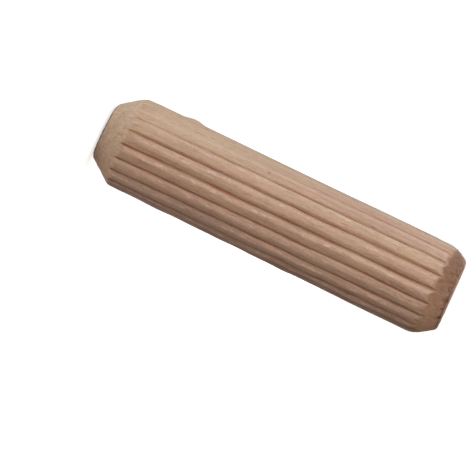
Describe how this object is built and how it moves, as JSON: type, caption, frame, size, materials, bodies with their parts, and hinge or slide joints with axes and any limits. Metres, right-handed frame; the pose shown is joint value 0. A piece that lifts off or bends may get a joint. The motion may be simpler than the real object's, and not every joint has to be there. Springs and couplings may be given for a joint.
{
  "type": "dowel pin",
  "caption": "Straight hardwood peg, fluted along its whole length and chamfered at both ends, glued into two drilled holes to join pieces of wood.",
  "frame": {"origin": "middle of the foot face, the smaller end face, on which the pin stands", "axes": "+Z along the pin from its foot to its head; a flute is centred on -Y"},
  "size_m": [0.01, 0.01, 0.04],
  "materials": {
    "beech": "matte"
  },
  "bodies": {
    "root": {"dowel_pin": "beech"}
  },
  "joints": []
}
